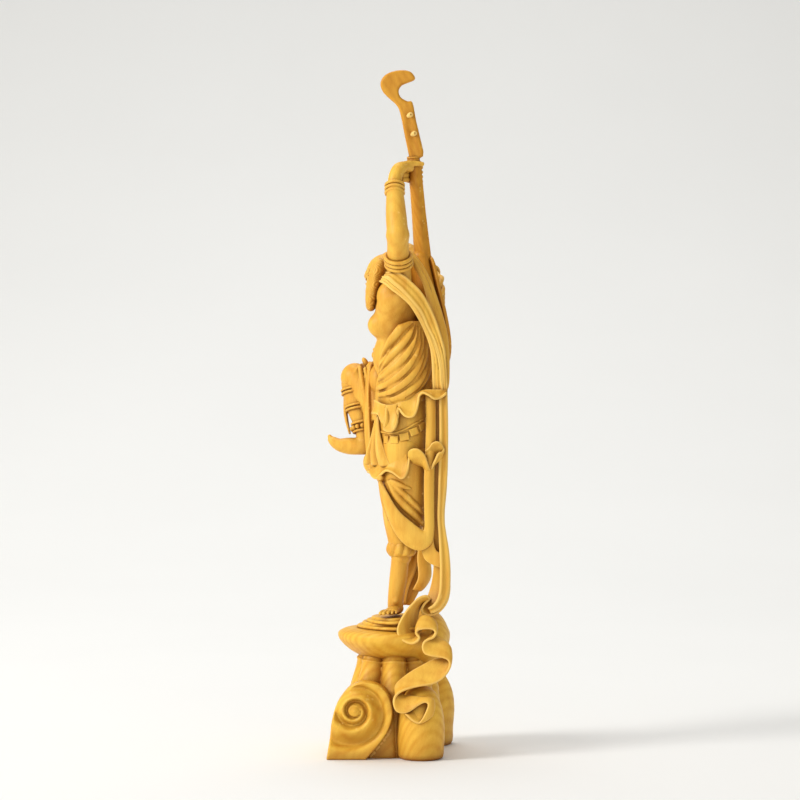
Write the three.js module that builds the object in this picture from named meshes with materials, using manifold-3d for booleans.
// Carved boxwood statuette of a celestial musician who plays the pipa behind the back.
// Millimetres, +Z up. The figure faces -Y, and +X is the figure's own left side.
// The origin is the middle of the base's underside.
import * as THREE from "three";
import { mergeVertices } from "three/addons/utils/BufferGeometryUtils.js";
import Module from "manifold-3d";

const wasm = await Module();
wasm.setup();

// ---------------------------------------------------------------- driving dimensions

const GLUE_GAP = 0.35; // clearance kept between two neighbouring pieces
const SMOOTHING = 0.06; // how far a small facet may move to do away with slivers
const BASE_TOP = 41.5; // where the cloud platform sits on the column
const PLATFORM_TOP = 55;
const TIER = 2.4; // thickness of each ripple step on the platform
const SOLE = PLATFORM_TOP + 2 * TIER + 1; // height of the standing foot's sole
const SCROLL_FACE = 29; // how far out to each side the cloud scrolls' flat faces lie
const CURL_TURNS = 1.6;
const CURL_STEPS = 8;
const PEG_REACH = 4.2; // how far a tuning peg stands out of the peg box
const PIPA_HALF_WIDTH = 13.6; // half of the pipa's greatest width
const STRIP_THICKNESS = 2.2; // cloth of the scarf's folded tails

// Body joints of the figure.
const JOINT = {
  hipLeft: [9, 6, 134],
  kneeLeft: [9.5, 3, 105],
  ankleLeft: [7, 1.8, 68],
  hipRight: [-9, 5, 139],
  kneeRight: [-16, -16, 165],
  ankleRight: [-10.5, -12.2, 141],
  shoulderLeft: [13, 4, 202],
  elbowLeft: [27.5, 3, 225],
  wristLeft: [17.5, 1.6, 249],
  shoulderRight: [-13, 4.5, 202],
  elbowRight: [-33, 7, 221],
  wristRight: [-19, 18.6, 210],
};

// The pipa's own frame: its nut, the foot of its body, and the way its soundboard faces.
const NUT = new THREE.Vector3(8, 11.2, 260);
const PIPA_FOOT = new THREE.Vector3(-8, 20.2, 168);
const SOUNDBOARD_FACES = new THREE.Vector3(-0.5, 0.86, 0);
const PEG_BOX_LEAN = new THREE.Vector3(2, -4.9, 23);

const BOXWOOD = { color: 0xe3a94f, roughness: 0.55, metalness: 0 };
const BASE_WOOD = { color: 0xdca048, roughness: 0.6, metalness: 0 };
const PIPA_WOOD = { color: 0xcf953c, roughness: 0.5, metalness: 0 };
const PEG_WOOD = { color: 0xf2d384, roughness: 0.5, metalness: 0 };

// ---------------------------------------------------------------- shape functions
// Each returns a function of grow, the amount by which the whole shape is swollen. A piece is
// the shape at grow 0, and its neighbours are cut by the shape at grow GLUE_GAP.

const vector = (p) => new THREE.Vector3(...p);

// A geometry with shared corners and nothing but positions.
function plain(geometry) {
  for (const name of ["normal", "uv"]) geometry.deleteAttribute(name);
  return mergeVertices(geometry, 1e-4);
}

// A unit spindle round +Y: radius 1 between y 0 and y 1, with a round or flat cap beyond each
// end that reaches y -1 and y 2.
function unitSpindle(sides, steps, round) {
  const capAngles = round ? [0.95] : [];
  const profile = [new THREE.Vector2(0, -1)];
  for (const a of capAngles) profile.push(new THREE.Vector2(Math.sin(a), -Math.cos(a)));
  for (let i = 0; i <= steps; i++) {
    const flatCap = round ? 0 : Math.sign(2 * i - steps) * (i % steps === 0);
    profile.push(new THREE.Vector2(1, i / steps + flatCap));
  }
  for (const a of capAngles.toReversed()) profile.push(new THREE.Vector2(Math.sin(a), 1 + Math.cos(a)));
  profile.push(new THREE.Vector2(0, 2));
  return plain(new THREE.LatheGeometry(profile, sides));
}

// A solid swept through stations [x, y, z, half width, half depth]. The half depth lies along
// facing, one vector or one for each station, and the half width across it. The sections are
// square to the route, or slanted to hold facing itself if ruled is set.
function sweep(stations, options = {}) {
  const { sides = 8, round = true, square = false, ruled = false, perSpan = 2 } = options;
  const facings = options.facing ?? [0, -1, 0];
  const count = stations.length;
  const steps = perSpan * (count - 1);
  const route = new THREE.CatmullRomCurve3(stations.map((s) => new THREE.Vector3(s[0], s[1], s[2])));
  const sizes = new THREE.CatmullRomCurve3(
    stations.map((s) => new THREE.Vector3(s[3], s[4] ?? s[3], 0)),
  );
  const faces = new THREE.CatmullRomCurve3(
    stations.map((_, i) => vector(Array.isArray(facings[0]) ? facings[i] : facings)),
  );
  return (grow) => {
    const geometry = unitSpindle(sides, steps, round);
    const position = geometry.attributes.position;
    for (let i = 0; i < position.count; i++) {
      const v = new THREE.Vector3().fromBufferAttribute(position, i);
      const t = THREE.MathUtils.clamp(v.y, 0, 1);
      const tangent = route.getTangent(t);
      const face = faces.getPoint(t).normalize();
      const width = new THREE.Vector3().crossVectors(tangent, face).normalize();
      const depth = ruled ? face : new THREE.Vector3().crossVectors(width, tangent).normalize();
      const size = sizes.getPoint(t);
      const halfWidth = size.x + grow;
      const halfDepth = size.y + grow;
      const capLength = round ? Math.min(halfWidth, halfDepth) : grow;
      const shape = (c) => (square ? Math.sign(c) * Math.sqrt(Math.abs(c)) : c);
      const p = route
        .getPoint(t)
        .addScaledVector(tangent, (v.y - t) * capLength)
        .addScaledVector(width, shape(v.x) * halfWidth)
        .addScaledVector(depth, shape(v.z) * halfDepth);
      position.setXYZ(i, p.x, p.y, p.z);
    }
    return [geometry];
  };
}

function ellipsoid(centre, radii, { turn = [0, 0, 0], sides = 10, rings = 7 } = {}) {
  return (grow) => {
    const geometry = plain(new THREE.SphereGeometry(1, sides, rings));
    geometry.scale(...radii.map((r) => r + grow));
    geometry.applyMatrix4(new THREE.Matrix4().makeRotationFromEuler(new THREE.Euler(...turn)));
    return [geometry.translate(...centre)];
  };
}

// A solid turned round +Z from a profile of [radius, z], squashed to an oval and fluted.
function turned(profile, options = {}) {
  const { centre = [0, 0], oval = [1, 1], sides = 20, flutes = 0, depth = 0, turn = 0 } = options;
  const heights = profile.map((p) => p[1]);
  const middle = (Math.min(...heights) + Math.max(...heights)) / 2;
  return (grow) => {
    const grown = profile.map(([r, z]) => new THREE.Vector2(r && r + grow, z + Math.sign(z - middle) * grow));
    const geometry = plain(new THREE.LatheGeometry(grown, sides)).rotateX(Math.PI / 2);
    const position = geometry.attributes.position;
    for (let i = 0; i < position.count; i++) {
      const [x, y, z] = [position.getX(i), position.getY(i), position.getZ(i)];
      const flute = 1 + depth * Math.cos(flutes * (Math.atan2(y, x) + turn));
      position.setXYZ(i, centre[0] + x * oval[0] * flute, centre[1] + y * oval[1] * flute, z);
    }
    return [geometry];
  };
}

// A closed band round an axis: radii of its oval, and its section's half depth and half height.
// wave is [count, amplitude along the axis, amplitude outwards].
function band(centre, axis, radii, section, { wave = [0, 0, 0], around = 14, sides = 5, flare = 0 } = {}) {
  const up = vector(axis).normalize();
  const turn = new THREE.Quaternion().setFromUnitVectors(new THREE.Vector3(0, 0, 1), up);
  return (grow) => {
    const geometry = plain(new THREE.TorusGeometry(2, 1, sides, around));
    const position = geometry.attributes.position;
    for (let i = 0; i < position.count; i++) {
      const v = new THREE.Vector3().fromBufferAttribute(position, i);
      const angle = Math.atan2(v.y, v.x);
      const out = Math.hypot(v.x, v.y) - 2;
      const ripple = Math.sin(wave[0] * angle);
      const reach = out * (section[0] + grow) + wave[2] * ripple - flare * v.z;
      v.set(
        Math.cos(angle) * (radii[0] + reach),
        Math.sin(angle) * (radii[1] + reach),
        v.z * (section[1] + grow) + wave[1] * Math.cos(wave[0] * angle),
      );
      v.applyQuaternion(turn).add(vector(centre));
      position.setXYZ(i, v.x, v.y, v.z);
    }
    return [geometry];
  };
}

// A flat outline, [x, y] points joined by a smooth or straight line, extruded to a thickness
// centred on its own plane and placed by a matrix.
function board(points, thickness, matrix, { smooth = true, divisions = 24 } = {}) {
  const corners = points.map((p) => new THREE.Vector2(...p));
  const outline = new THREE.Shape(
    smooth ? new THREE.SplineCurve([...corners, corners[0]]).getPoints(divisions).slice(0, -1) : corners,
  );
  return (grow) => {
    const extruded = new THREE.ExtrudeGeometry(outline, {
      depth: thickness,
      bevelEnabled: grow > 0,
      bevelThickness: grow,
      bevelSize: grow,
      bevelSegments: 1,
    });
    return [plain(extruded).translate(0, 0, -thickness / 2).applyMatrix4(matrix)];
  };
}

const joined = (...shapes) => (grow) => shapes.flatMap((shape) => shape(grow));

// ---------------------------------------------------------------- solids and pieces

function solidOf(geometry) {
  return new wasm.Manifold(
    new wasm.Mesh({
      numProp: 3,
      vertProperties: geometry.attributes.position.array,
      triVerts: new Uint32Array(geometry.index.array),
    }),
  );
}

const unionOf = (geometries) => geometries.map(solidOf).reduce((a, b) => a.add(b));
const largestOf = (solid) => solid.decompose().reduce((a, b) => (b.volume() > a.volume() ? b : a));

// Everything below the table's surface is cut away from the pieces of the base.
const underTable = solidOf(plain(new THREE.BoxGeometry(200, 200, 60)).translate(0, 0, -30));

const placed = []; // every piece so far, as { box, swollen }

function touches(a, b) {
  return [0, 1, 2].every((k) => a.min[k] <= b.max[k] && b.min[k] <= a.max[k]);
}

// Adds one named piece to a group. It is cut clear of every piece that was added before it.
function piece(group, name, look, shape) {
  let solid = unionOf(shape(0));
  const box = solid.boundingBox();
  if (box.min[2] < 0) solid = solid.subtract(underTable);
  for (const other of placed) {
    if (touches(box, other.box)) solid = solid.subtract(other.swollen);
  }
  solid = largestOf(solid).simplify(SMOOTHING);
  const swollen = unionOf(shape(GLUE_GAP)).simplify(SMOOTHING);
  placed.push({ box: swollen.boundingBox(), swollen });

  const mesh = solid.getMesh();
  const geometry = new THREE.BufferGeometry();
  geometry.setAttribute("position", new THREE.BufferAttribute(new Float32Array(mesh.vertProperties), 3));
  geometry.setIndex(new THREE.BufferAttribute(new Uint32Array(mesh.triVerts), 1));
  geometry.computeBoundingBox();
  const middle = geometry.boundingBox.getCenter(new THREE.Vector3());
  geometry.translate(-middle.x, -middle.y, -middle.z);
  geometry.computeVertexNormals();
  const made = new THREE.Mesh(geometry, new THREE.MeshStandardMaterial(look));
  made.name = name;
  made.position.copy(middle);
  group.add(made);
}

// ---------------------------------------------------------------- cloud base

// A cloud scroll: a stack of slabs whose outline is the lobe, [y, z] points that close in on the
// eye from slab to slab, with a curl and a round boss on its outer face. side is 1 on the
// figure's left and -1 on its right.
function cloudScroll(side, lobe, eye, curlRadius) {
  const upright = new THREE.Matrix4().makeBasis(
    new THREE.Vector3(0, 1, 0),
    new THREE.Vector3(0, 0, 1),
    new THREE.Vector3(1, 0, 0),
  );
  const slab = ([from, to, inset]) => {
    const outline = lobe.map(([y, z]) => [y + (eye[0] - y) * inset, z && z + (eye[1] - z) * inset]);
    const place = new THREE.Matrix4().makeTranslation((side * (from + to)) / 2, 0, 0).multiply(upright);
    return board(outline, to - from, place, { divisions: 22 });
  };
  const curl = Array.from({ length: CURL_STEPS + 1 }, (_, i) => {
    const share = i / CURL_STEPS;
    const angle = -0.6 + share * CURL_TURNS * 2 * Math.PI;
    const reach = curlRadius * (1 - 0.62 * share);
    const x = side * (SCROLL_FACE + 1.2 + 2 * share);
    return [x, eye[0] + reach * Math.cos(angle), eye[1] + reach * Math.sin(angle), 1.9, 1.7];
  });
  return joined(
    ...[[6, SCROLL_FACE - 5, 0], [SCROLL_FACE - 5.5, SCROLL_FACE - 2, 0.05],
      [SCROLL_FACE - 2.5, SCROLL_FACE, 0.14]]
      .map(slab),
    sweep(curl, { facing: [1, 0, 0] }),
    ellipsoid([side * (SCROLL_FACE + 1.6), ...eye], [3, 4.2, 4.2]),
  );
}

function addBase(group) {
  const column = [[0, 0], [21, 0], [20, 9], [17.5, 22], [15.2, 34], [15.6, BASE_TOP], [0, BASE_TOP]];
  const platform = [[0, BASE_TOP + 0.4], [11, BASE_TOP + 0.4], [20, 44.6], [24.6, 48.6], [25, 51.8],
    [21.5, 54.4], [15, PLATFORM_TOP], [0, PLATFORM_TOP]];
  const step = (z, radius) =>
    [[0, z + GLUE_GAP], [radius, z + GLUE_GAP], [radius + 0.4, z + 1.5], [radius - 0.6, z + TIER],
    [0, z + TIER]];
  const leftLobe = [[-28, 0], [-25.8, 9], [-23.6, 19], [-20, 27], [-14, 32], [-6, 32.6], [1, 28.6], [3.6, 19],
    [3.2, 9], [1.4, 0]];
  const rightLobe = [[-23, 0], [-23.6, 9], [-21.6, 19], [-16, 26.6], [-8, 28], [-1, 24], [2, 15], [2, 0]];

  piece(group, "ripple_step_upper", BASE_WOOD,
    turned(step(PLATFORM_TOP + TIER, 14), { centre: [5, 2.5], oval: [1.1, 0.88], sides: 18 }));
  piece(group, "ripple_step_lower", BASE_WOOD,
    turned(step(PLATFORM_TOP, 19), { centre: [2, 3.5], oval: [1.02, 0.94], sides: 20 }));
  piece(group, "cloud_platform", BASE_WOOD,
    joined(
      turned(platform, { centre: [0, 1], oval: [1.02, 0.97], sides: 22 }),
      ellipsoid([3, 14.6, 49.8], [16.5, 9.8, 7.6], { sides: 14, rings: 7 })));
  piece(group, "cloud_scroll_left", BASE_WOOD, cloudScroll(1, leftLobe, [-14.6, 20.5], 9.2));
  piece(group, "cloud_scroll_right", BASE_WOOD, cloudScroll(-1, rightLobe, [-11.5, 16.5], 8));
  piece(group, "cloud_pillar_left", BASE_WOOD,
    turned([[0, 0], [10.6, 0], [11, 9], [10.3, 19], [8, 27], [4.4, 31], [0, 32.2]],
      { centre: [22, 13.2], oval: [1.05, 0.95], sides: 16 }));
  piece(group, "cloud_pillar_right", BASE_WOOD,
    turned([[0, 0], [8.2, 0], [9, 9], [9.6, 18], [8.4, 26], [4.6, 32], [0, 34]],
      { centre: [-23, 19], oval: [1.2, 1], sides: 16 }));
  piece(group, "base_column", BASE_WOOD,
    turned(column, { centre: [0, 1.5], oval: [1.12, 1], sides: 24, flutes: 6, depth: 0.045, turn: 0.5 }));
}

// ---------------------------------------------------------------- pipa

// Carries the pipa's own frame to the figure's: x across the neck, y up along it, and z out of
// the soundboard, with the nut at the origin.
function pipaMatrix() {
  const along = NUT.clone().sub(PIPA_FOOT).normalize();
  const across = new THREE.Vector3().crossVectors(along, SOUNDBOARD_FACES).normalize();
  const out = new THREE.Vector3().crossVectors(across, along);
  return new THREE.Matrix4().makeBasis(across, along, out).setPosition(NUT);
}

// The peg box leans forward from the nut: x runs back, y up the box, z to the figure's left.
function pegBoxMatrix() {
  const up = PEG_BOX_LEAN.clone().normalize();
  const back = new THREE.Vector3().crossVectors(up, new THREE.Vector3(1, 0, 0)).normalize();
  const left = new THREE.Vector3().crossVectors(back, up);
  return new THREE.Matrix4().makeBasis(back, up, left).setPosition(NUT);
}

const moved = (shape, matrix) => (grow) => shape(grow).map((g) => g.applyMatrix4(matrix));

function addPipa(group) {
  const frame = pipaMatrix();
  const pegBox = pegBoxMatrix();
  const foot = -NUT.distanceTo(PIPA_FOOT);
  const outOfBoard = { facing: [0, 0, 1] };
  // Half of the pear outline: [share of the greatest half width, distance from the foot].
  const half = [[0.62, 2], [0.97, 11], [0.92, 23], [0.62, 38], [0.34, 50]]
    .map(([share, rise]) => [share * PIPA_HALF_WIDTH, foot + rise]);
  const pear = [[0, foot], ...half, ...half.toReversed().map(([x, y]) => [-x, y])];
  const hook = [[-3, 0.6], [3, 0.6], [3.4, 8], [3.2, 16], [3.3, 24], [1.2, 24.6], [-1.2, 27], [-1.6, 30],
    [0.4, 32.2], [5, 33], [6.8, 34], [5.6, 37], [2, 38.8], [-2.6, 39], [-6.6, 38], [-8.8, 35.2], [-8.6, 31.6],
    [-6.4, 28], [-3.8, 24.4], [-2.9, 20.4], [-3, 10]];
  const pegs = [[18.8, 1], [10.6, 1], [14.7, -1], [6.5, -1]];

  pegs.forEach(([y, side], i) => {
    const peg = [[0.9, y, side * 2, 1, 1], [0.9, y, side * (2.5 + 0.7 * PEG_REACH), 1.3, 1.3],
      [0.9, y, side * (2.5 + PEG_REACH), 1.6, 1.6]];
    piece(group, `pipa_peg_${i + 1}`, PEG_WOOD,
      moved(sweep(peg, { facing: [1, 0, 0], sides: 8, perSpan: 1 }), pegBox));
  });
  piece(group, "pipa_peg_box", PIPA_WOOD, board(hook, 5, pegBox, { smooth: false }));
  piece(group, "pipa_bridge", PIPA_WOOD,
    moved(sweep([[-5, foot + 14, 2.2, 0.9, 0.9], [5, foot + 14, 2.2, 0.9, 0.9]],
      { ...outOfBoard, sides: 6 }), frame));
  piece(group, "pipa_soundboard", PIPA_WOOD,
    board(pear, 1.6, frame.clone().multiply(new THREE.Matrix4().makeTranslation(0, 0, 0.4)),
      { divisions: 26 }));
  const neck = [[0, foot + 50, -2.6, 3.4, 3], [0, -24, -2, 2.8, 2.7], [0, -1, -1.6, 2.6, 2.6]];
  const body = [[0, foot + 3, -4.2, 7, 3], [0, foot + 12, -4.6, 13, 5.2], [0, foot + 24, -4.4, 12.2, 5.2],
    [0, foot + 40, -3.8, 7.4, 4.4], [0, foot + 52, -3.2, 4, 3.6]];
  piece(group, "pipa_body", PIPA_WOOD, moved(sweep(body, { ...outOfBoard, sides: 12 }), frame));
  piece(group, "pipa_neck", PIPA_WOOD, moved(sweep(neck, { ...outOfBoard, sides: 10, round: false }), frame));
}

// ---------------------------------------------------------------- scarf

const STRIP = { square: true, round: false, sides: 8 };
const SIDEWAYS = [1, 0, 0];

// A folded strip of cloth: the run of its outer edge, and the way from that edge to the inner
// one at each point.
function foldedStrip(edge, lays) {
  const halfWay = edge.map((p, i) => vector(p).addScaledVector(vector(lays[i]), 0.5));
  const stations = halfWay.map((p, i) => [...p.toArray(), STRIP_THICKNESS / 2, vector(lays[i]).length() / 2]);
  return sweep(stations, { ...STRIP, ruled: true, facing: lays.map((lay) => lay.map((c) => -c)) });
}

function addScarf(group) {
  const strip = (facing) => ({ ...STRIP, facing });
  piece(group, "scarf_left_shoulder", BOXWOOD,
    sweep([[15.5, -3.4, 204.6, 1.8, 2.6], [19.6, 2.6, 201.6, 3.2, 1.5], [20.4, 9.4, 194.8, 3.2, 1.5],
      [19.4, 14, 184, 3, 1.4], [18.6, 16.8, 172, 2.8, 1.3], [18.4, 18, 160.5, 2.7, 1.3]], strip(SIDEWAYS)));
  piece(group, "scarf_left_back", BOXWOOD,
    sweep([[13, 8, 219, 1.5, 1.1], [14, 13.2, 206.5, 1.8, 1.2], [14.6, 18.6, 190, 2, 1.2],
      [14.6, 21.6, 174, 2.1, 1.2], [14.6, 22.6, 161, 2.1, 1.2]], strip([0.9, 0.3, 0])));
  piece(group, "scarf_left_fall", BOXWOOD,
    sweep([[15, 21.4, 158.6, 3.2, 2], [15.4, 21.6, 138, 2.9, 1.9], [15.4, 21.6, 116, 2.8, 1.7],
      [15.2, 21.8, 96, 2.9, 1.7], [15.4, 22.6, 82, 3, 1.7], [16, 22.8, 72, 2.6, 2.4],
      [16.6, 20.8, 65.6, 1.4, 4], [17, 16.4, 63.4, 1.1, 4.2]], strip(SIDEWAYS)));
  piece(group, "scarf_left_loop", BOXWOOD,
    sweep([[16.2, 16.6, 158.6, 2.1, 1.6], [16.6, 17, 138, 2.1, 1.4], [16.6, 17, 118, 2.2, 1.4],
      [16.4, 16, 101, 2.8, 1.4], [16.2, 11.6, 93.6, 3.2, 1.3], [16.6, 5, 97.4, 4, 1.3],
      [16.4, -1, 106.5, 3.6, 1.3], [14, -4.6, 115.6, 2.8, 1.2]], strip(SIDEWAYS)));
  const acrossBack = [-7, 5, 2.5];
  const upwards = [-5, 1, 8];
  const leftTail = [[17, 14, 63.6], [18, 16.6, 68], [19.4, 10.4, 67.6], [22, 4.2, 60], [25, 3.2, 53],
    [26.4, 8.6, 49.6], [26, 12.6, 54], [26, 17.8, 54], [26.4, 14, 49], [27.4, 19, 44.4],
    [28, 24.2, 39.6], [29, 19, 33.4], [30, 8, 31], [31, 1.6, 25.4], [31.6, 6.4, 20.8],
    [31.4, 13.4, 24.4], [31.4, 12.6, 18.4]];
  piece(group, "scarf_left_tail", BOXWOOD,
    foldedStrip(leftTail, leftTail.map((_, i) => (i < 9 ? acrossBack : upwards))));

  piece(group, "scarf_right_shoulder", BOXWOOD,
    sweep([[-15.5, -3, 204.4, 1.8, 2.6], [-20, 2.8, 201, 3.2, 1.5], [-20.6, 9, 194, 3.2, 1.5],
      [-19.6, 13.6, 183, 3, 1.4], [-18.8, 16.4, 172, 2.8, 1.3], [-18.4, 17.6, 160.5, 2.7, 1.3]],
      strip(SIDEWAYS)));
  piece(group, "scarf_right_fall", BOXWOOD,
    sweep([[-15, 20, 159, 3.4, 1.9], [-15.6, 19.6, 138, 3.2, 1.8], [-15.6, 18.4, 116, 3.6, 1.6],
      [-15, 15.6, 96, 4.2, 1.6], [-14.4, 14, 80, 4.4, 1.5], [-14, 9.6, 69, 3.4, 1.3],
      [-14, 6.4, 62.6, 2.4, 1.2]],
      strip(SIDEWAYS)));
  const rightTail = [[-18, 17, 66], [-22, 11, 62], [-26, 6, 54], [-28, 12, 48], [-28, 19, 43],
    [-29.4, 12, 34], [-31, 4.4, 28], [-31.6, 9, 21], [-31.4, 14, 22]];
  piece(group, "scarf_right_tail", BOXWOOD,
    foldedStrip(rightTail, rightTail.map((_, i) => (i < 4 ? [7, 4, 2] : [5, 1, 7]))));
}

// ---------------------------------------------------------------- skirts

function addSkirts(group) {
  piece(group, "waist_drape", BOXWOOD,
    sweep([[0.5, 4.4, 186, 12.4, 10.2], [0.6, 7, 177, 13.4, 11.8], [0.6, 6.6, 166, 15.6, 13.2],
      [0.6, 6.2, 155, 17.2, 14.2], [0.6, 6.2, 151, 17.4, 14.4]], { sides: 16, round: false }));
  piece(group, "front_sash", BOXWOOD,
    sweep([[-11, -9.6, 171, 5.6, 2.8], [-8, -10.4, 158, 5, 3.2], [-5, -9.4, 144, 4.8, 3.2],
      [-2, -8.6, 131, 5.2, 3.2], [0.5, -6.4, 119, 5.6, 2.6]], { facing: [0, -1, 0], sides: 10 }));
  piece(group, "skirt_pouch_right", BOXWOOD, ellipsoid([-9, -4.6, 127], [8, 8.2, 7]));
  piece(group, "upper_ruffle", BOXWOOD,
    band([0.6, 7.4, 151.6], [0, -0.26, 1], [18.6, 14.6], [1.5, 4],
      { wave: [7, 1.4, 0.9], around: 35, flare: 1.2 }));
  piece(group, "bead_belt", BOXWOOD,
    band([0, 7.2, 139.4], [0, -0.28, 1], [17.4, 13.6], [1.5, 2], { around: 24 }));
  piece(group, "lower_ruffle", BOXWOOD,
    band([0.6, 6.6, 128], [0, -0.2, 1], [19, 15.6], [1.6, 3.6],
      { wave: [6, 1.5, 0.8], around: 30, flare: 1.2 }));
}

// ---------------------------------------------------------------- legs and feet

function addLegs(group) {
  const { hipLeft, kneeLeft, ankleLeft, hipRight, kneeRight, ankleRight } = JOINT;
  const shinAxis = [-0.22, -0.15, 1];
  piece(group, "pelvis", BOXWOOD,
    joined(
      ellipsoid([0, 6.4, 139], [16.6, 12.4, 13]),
      ellipsoid([6.5, 9.5, 132], [10, 10.2, 9.5])));
  piece(group, "left_thigh", BOXWOOD,
    sweep([[...hipLeft, 9.6, 9.8], [9.5, 4.5, 119, 8.6, 8.8], [...kneeLeft, 6.9, 7.2],
      [8.6, 3.8, 94, 5.2, 5.4]],
      { sides: 10 }));
  piece(group, "left_shin", BOXWOOD,
    sweep([[8.5, 4, 92, 3.9, 3.9], [8.2, 4, 84, 3.6, 3.6], [...ankleLeft, 3, 3.3],
      [6.6, 1.8, SOLE + 4.6, 3, 3.3]],
      { round: false }));
  piece(group, "left_foot", BOXWOOD,
    joined(
      sweep([[2.6, 2.6, SOLE + 2.4, 2.9, 2.4], [8, 1.6, SOLE + 2.4, 3.1, 2.4],
        [14, -0.6, SOLE + 1.7, 3.4, 1.6], [19, -2.2, SOLE + 1.3, 3, 1.2]], { facing: [0, 0, 1],
        sides: 10 }),
      ellipsoid([6.8, 2, SOLE + 3.6], [3.4, 3, 2.8], {})));
  piece(group, "right_thigh", BOXWOOD,
    sweep([[...hipRight, 9, 9], [-12, -5, 151, 8.2, 8.4], [...kneeRight, 6.2, 6.2]], { sides: 10 }));
  piece(group, "right_shin", BOXWOOD,
    sweep([[-16, -16.8, 160, 5.2, 5.2], [-13.4, -15, 152, 4.9, 5], [...ankleRight, 3.7, 3.8],
      [-10, -11.6, 136.5, 3.3, 3.6]], { sides: 10 }));
  piece(group, "right_foot", BOXWOOD,
    sweep([[-9.4, -9.6, 134, 3, 3.4], [-10, -14, 135, 3.3, 3.4], [-11, -20, 135.2, 3.6, 2.4],
      [-11.8, -25.4, 136.6, 3, 1.5], [-12, -27, 137.4, 2.2, 1]], { facing: [0, 0, 1], sides: 12 }));
  piece(group, "left_cuff", BOXWOOD, band([8.3, 4.2, 89.4], [0, 0.12, 1], [5, 5], [1.4, 3.6]));
  piece(group, "right_leg_band_upper", BOXWOOD,
    band([-14.9, -16.2, 157.4], shinAxis, [5.5, 5.5], [1.2, 1.5]));
  piece(group, "right_leg_band_lower", BOXWOOD,
    band([-12.9, -14.6, 150.4], shinAxis, [5.3, 5.3], [1.2, 1.5]));
  piece(group, "right_anklet", BOXWOOD, band([-10.9, -12.5, 142.4], shinAxis, [4.4, 4.4], [1.3, 1.9]));
}

// ---------------------------------------------------------------- torso and head

function addTorsoAndHead(group) {
  const faceTurn = { turn: [0.1, 0, -0.45] };
  piece(group, "head_band", BOXWOOD, band([-3.4, -2.4, 213], [-0.06, -0.3, 1], [7.4, 8.2], [1.2, 1.4]));
  piece(group, "head", BOXWOOD,
    joined(
      ellipsoid([-3.8, -2.8, 208.6], [7.5, 8.6, 9.4], { ...faceTurn, sides: 12, rings: 8 }),
      ellipsoid([-4.8, -6, 202.4], [5.2, 5.2, 7.4], faceTurn)));
  piece(group, "neck", BOXWOOD,
    sweep([[-0.4, 3.6, 199, 4.4, 4.4], [-1.4, 1.8, 204, 3.9, 3.9], [-2.4, 0.6, 208, 3.8, 3.8]],
      { sides: 12, round: false }));
  piece(group, "necklace", BOXWOOD, band([-0.5, 1.4, 199.2], [0, -0.6, 1], [8.6, 7.6], [1.5, 1]));
  piece(group, "torso", BOXWOOD,
    joined(
      sweep([[0, 3.6, 174, 9.6, 9], [0, 2.4, 187, 12, 10], [0, 3, 197, 13, 8.6], [0, 4, 202, 10, 6]],
        { sides: 14 }),
      ellipsoid([5.2, -4.6, 187.6], [5, 4.8, 5], {}),
      ellipsoid([-5.2, -4.6, 187.6], [5, 4.8, 5], {})));
  piece(group, "hair_bun", BOXWOOD, ellipsoid([-2.8, 1, 215.4], [5.2, 6, 4.6], {}));
}

// ---------------------------------------------------------------- arms and hands

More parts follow.
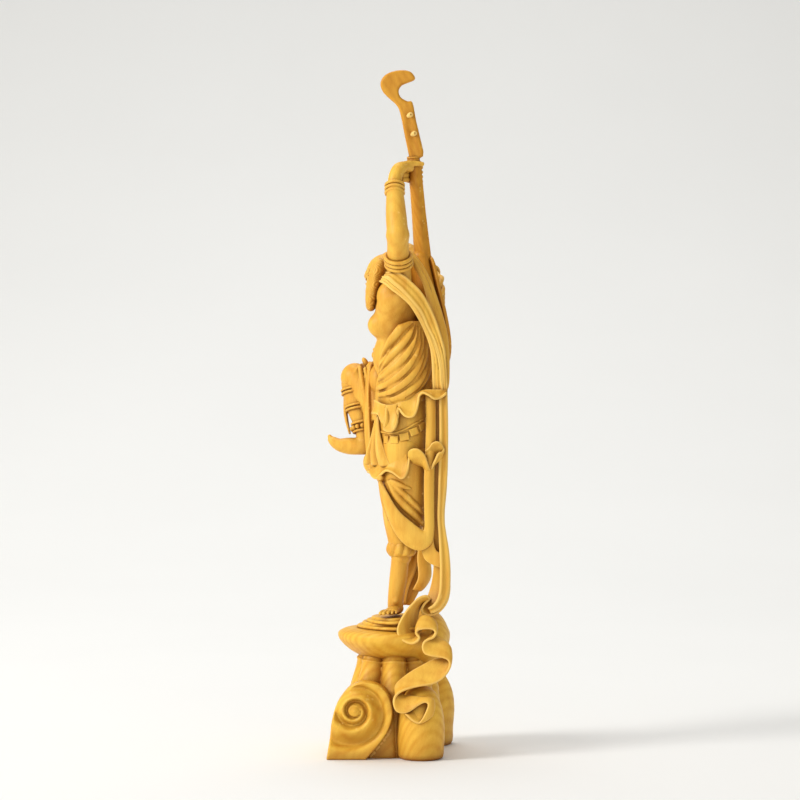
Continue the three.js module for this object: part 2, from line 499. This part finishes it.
function addArms(group) {
  const { shoulderLeft, elbowLeft, wristLeft, shoulderRight, elbowRight, wristRight } = JOINT;
  piece(group, "left_upper_arm", BOXWOOD,
    sweep([[...shoulderLeft, 6, 6], [21, 3.4, 213, 5.2, 5.2], [...elbowLeft, 4.4, 4.5]], { sides: 10 }));
  piece(group, "left_forearm", BOXWOOD,
    sweep([[27.3, 2.9, 227, 4.2, 4.3], [23.6, 1.8, 237, 3.9, 4], [...wristLeft, 3, 3.1]], { sides: 10 }));
  piece(group, "left_hand", BOXWOOD,
    joined(
      sweep([[...wristLeft, 2.9, 3], [16.6, 2.4, 253, 3.2, 3], [13.6, 5.4, 255.8, 3.4, 2.2],
        [10.6, 9, 256.8, 3, 1.7], [8, 12.8, 257, 2.8, 1.5]], { facing: [0, 0, 1] }),
      sweep([[15.6, 3.2, 253.4, 1.5, 1.5], [13.6, 7, 250.6, 1.4, 1.4], [11.6, 10.6, 251.4, 1.2, 1.2]],
        { sides: 8 })));
  piece(group, "left_armlet", BOXWOOD, band([22, 3.4, 214.6], [0.56, -0.05, 0.8], [5.6, 5.6], [0.9, 2.6]));
  piece(group, "left_wristlet", BOXWOOD, band([18.9, 1.7, 245.6], [-0.4, 0, 0.9], [3.7, 3.8], [0.9, 2.6]));
  piece(group, "right_upper_arm", BOXWOOD,
    sweep([[...shoulderRight, 6, 6], [-23, 5, 212.5, 5.2, 5.2], [...elbowRight, 4.4, 4.4]], { sides: 10 }));
  piece(group, "right_forearm", BOXWOOD,
    sweep([[-32, 9.5, 219.6, 4.2, 4.2], [-26.5, 13.8, 215, 3.8, 3.8], [...wristRight, 3, 3]], { sides: 10 }));
  piece(group, "right_hand", BOXWOOD,
    sweep([[...wristRight, 2.9, 2.9], [-16, 20.4, 208, 3.4, 2.2], [-12.4, 21.6, 204.4, 3.2, 1.5],
      [-9.4, 21.8, 201, 2.6, 1.2]], { facing: [-0.5, 0.86, 0] }));
  piece(group, "right_armlet", BOXWOOD,
    band([-23.4, 5.2, 212.8], [-0.74, 0.08, 0.68], [5.6, 5.6], [0.9, 2.4]));
  piece(group, "right_wristlet", BOXWOOD,
    band([-21.2, 17.4, 211.4], [0.74, 0.6, -0.3], [3.6, 3.6], [0.9, 2.2]));
}

// ---------------------------------------------------------------- the whole statuette

const statuette = new THREE.Group();

// The first groups keep their whole shape, and the later ones are cut to fit against them.
const sections = {
  cloud_base: addBase,
  pipa: addPipa,
  legs: addLegs,
  torso_and_head: addTorsoAndHead,
  arms_and_hands: addArms,
  skirts: addSkirts,
  scarf: addScarf,
};
for (const [name, add] of Object.entries(sections)) {
  const group = new THREE.Group();
  group.name = name;
  add(group);
  statuette.add(group);
}

export default statuette;
